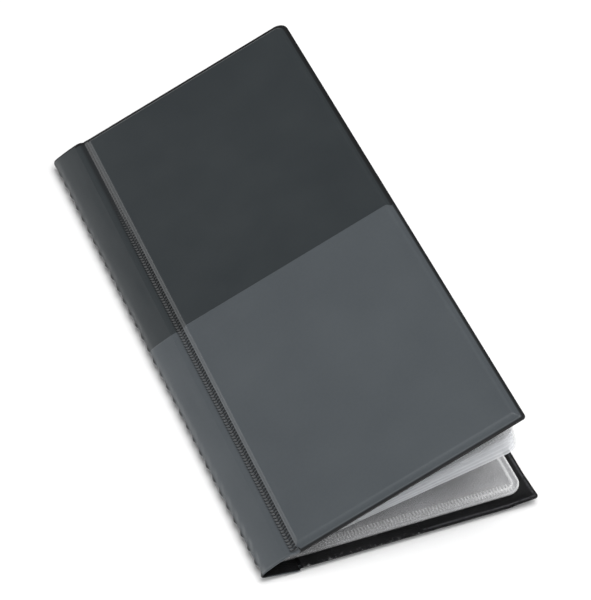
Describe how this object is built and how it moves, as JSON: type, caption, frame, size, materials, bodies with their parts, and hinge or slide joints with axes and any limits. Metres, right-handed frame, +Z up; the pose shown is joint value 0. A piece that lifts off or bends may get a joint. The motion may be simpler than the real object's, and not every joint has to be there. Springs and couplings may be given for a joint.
{
  "type": "business card album",
  "caption": "Tall vinyl business card album with stiff hinged covers and a stack of clear pocket leaves that turn about the spine.",
  "frame": {"origin": "middle of the footprint at rest, on the surface the back cover lies on", "axes": "+X from the spine to the fore edge, +Y along the spine from the bottom edge to the top edge, +Z up out of the back cover"},
  "size_m": [0.115, 0.253, 0.0525],
  "materials": {
    "dark_foil": "soft dark anthracite vinyl foil, fine grain, satin sheen",
    "grey_foil": "soft mid-grey vinyl foil, fine grain, satin sheen",
    "black_lining": "black vinyl lining with a leather-like grain, low gloss",
    "pocket_foil": "thin black vinyl foil, smoother than the lining",
    "board": "grey-brown stiff binder's board, uncoated",
    "welded_film": "fused clear vinyl, milky where it was welded",
    "clear_film": "soft clear vinyl film, slightly hazy, glossy, with pressed weld lines"
  },
  "bodies": {
    "back_cover": {"back_board": "board", "back_skin_upper": "dark_foil", "back_skin_lower": "grey_foil", "back_lining": "black_lining", "back_pocket": "pocket_foil"},
    "spine_back": {"spine_back_skin_upper": "dark_foil", "spine_back_skin_lower": "grey_foil", "spine_back_lining": "black_lining", "leaf_binding": "welded_film"},
    "spine_front": {"spine_front_skin_upper": "dark_foil", "spine_front_skin_lower": "grey_foil", "spine_front_lining": "black_lining"},
    "front_cover": {"front_board": "board", "front_skin_upper": "dark_foil", "front_skin_lower": "grey_foil", "front_lining": "black_lining", "front_pocket": "pocket_foil"},
    "leaf_01": {"leaf_01_front_film": "clear_film", "leaf_01_back_film": "clear_film"},
    "leaf_02": {"leaf_02_front_film": "clear_film", "leaf_02_back_film": "clear_film"},
    "leaf_03": {"leaf_03_front_film": "clear_film", "leaf_03_back_film": "clear_film"},
    "leaf_04": {"leaf_04_front_film": "clear_film", "leaf_04_back_film": "clear_film"},
    "leaf_05": {"leaf_05_front_film": "clear_film", "leaf_05_back_film": "clear_film"},
    "leaf_06": {"leaf_06_front_film": "clear_film", "leaf_06_back_film": "clear_film"},
    "leaf_07": {"leaf_07_front_film": "clear_film", "leaf_07_back_film": "clear_film"},
    "leaf_08": {"leaf_08_front_film": "clear_film", "leaf_08_back_film": "clear_film"},
    "leaf_09": {"leaf_09_front_film": "clear_film", "leaf_09_back_film": "clear_film"},
    "leaf_10": {"leaf_10_front_film": "clear_film", "leaf_10_back_film": "clear_film"},
    "leaf_11": {"leaf_11_front_film": "clear_film", "leaf_11_back_film": "clear_film"},
    "leaf_12": {"leaf_12_front_film": "clear_film", "leaf_12_back_film": "clear_film"}
  },
  "joints": [
    {"name": "spine_fold", "type": "hinge", "parent": "spine_back", "child": "spine_front", "pos_m": [-0.0535, 0, 0.0056], "axis": [0, -1, 0], "range_deg": [-21.7, 145]},
    {"name": "back_hinge", "type": "hinge", "parent": "back_cover", "child": "spine_back", "pos_m": [-0.0427, 0, 0.0012], "axis": [0, -1, 0], "range_deg": [-0.22, 1.45]},
    {"name": "front_hinge", "type": "hinge", "parent": "spine_front", "child": "front_cover", "pos_m": [-0.0431, 0, 0.01189], "axis": [0, -1, 0], "range_deg": [-1.74, 11.63]},
    {"name": "leaf_01_turn", "type": "hinge", "parent": "spine_back", "child": "leaf_01", "pos_m": [-0.0535, 0, 0.0056], "axis": [0, -1, 0], "range_deg": [-0.14, 0.96]},
    {"name": "leaf_02_turn", "type": "hinge", "parent": "spine_back", "child": "leaf_02", "pos_m": [-0.0535, 0, 0.0056], "axis": [0, -1, 0], "range_deg": [-0.16, 1.09]},
    {"name": "leaf_03_turn", "type": "hinge", "parent": "spine_back", "child": "leaf_03", "pos_m": [-0.0535, 0, 0.0056], "axis": [0, -1, 0], "range_deg": [-0.18, 1.23]},
    {"name": "leaf_04_turn", "type": "hinge", "parent": "spine_back", "child": "leaf_04", "pos_m": [-0.0535, 0, 0.0056], "axis": [0, -1, 0], "range_deg": [-0.2, 1.36]},
    {"name": "leaf_05_turn", "type": "hinge", "parent": "spine_back", "child": "leaf_05", "pos_m": [-0.0535, 0, 0.0056], "axis": [0, -1, 0], "range_deg": [-0.22, 1.49]},
    {"name": "leaf_06_turn", "type": "hinge", "parent": "spine_back", "child": "leaf_06", "pos_m": [-0.0535, 0, 0.0056], "axis": [0, -1, 0], "range_deg": [-0.24, 1.63]},
    {"name": "leaf_07_turn", "type": "hinge", "parent": "spine_back", "child": "leaf_07", "pos_m": [-0.0535, 0, 0.0056], "axis": [0, -1, 0], "range_deg": [-0.26, 1.76]},
    {"name": "leaf_08_turn", "type": "hinge", "parent": "spine_back", "child": "leaf_08", "pos_m": [-0.0535, 0, 0.0056], "axis": [0, -1, 0], "range_deg": [-13.12, 87.68]},
    {"name": "leaf_09_turn", "type": "hinge", "parent": "spine_back", "child": "leaf_09", "pos_m": [-0.0535, 0, 0.0056], "axis": [0, -1, 0], "range_deg": [-14.03, 93.72]},
    {"name": "leaf_10_turn", "type": "hinge", "parent": "spine_back", "child": "leaf_10", "pos_m": [-0.0535, 0, 0.0056], "axis": [0, -1, 0], "range_deg": [-15.13, 101.09]},
    {"name": "leaf_11_turn", "type": "hinge", "parent": "spine_back", "child": "leaf_11", "pos_m": [-0.0535, 0, 0.0056], "axis": [0, -1, 0], "range_deg": [-16.43, 109.8]},
    {"name": "leaf_12_turn", "type": "hinge", "parent": "spine_back", "child": "leaf_12", "pos_m": [-0.0535, 0, 0.0056], "axis": [0, -1, 0], "range_deg": [-17.74, 118.51]}
  ],
  "couplings": [
    {"joint": "back_hinge", "follows": "spine_fold", "ratio": 0.01},
    {"joint": "front_hinge", "follows": "spine_fold", "ratio": 0.08},
    {"joint": "leaf_01_turn", "follows": "spine_fold", "ratio": 0.00659},
    {"joint": "leaf_02_turn", "follows": "spine_fold", "ratio": 0.007512},
    {"joint": "leaf_03_turn", "follows": "spine_fold", "ratio": 0.008433},
    {"joint": "leaf_04_turn", "follows": "spine_fold", "ratio": 0.009355},
    {"joint": "leaf_05_turn", "follows": "spine_fold", "ratio": 0.010276},
    {"joint": "leaf_06_turn", "follows": "spine_fold", "ratio": 0.011198},
    {"joint": "leaf_07_turn", "follows": "spine_fold", "ratio": 0.01212},
    {"joint": "leaf_08_turn", "follows": "spine_fold", "ratio": 0.6029},
    {"joint": "leaf_09_turn", "follows": "spine_fold", "ratio": 0.64438},
    {"joint": "leaf_10_turn", "follows": "spine_fold", "ratio": 0.69507},
    {"joint": "leaf_11_turn", "follows": "spine_fold", "ratio": 0.75498},
    {"joint": "leaf_12_turn", "follows": "spine_fold", "ratio": 0.81488}
  ]
}
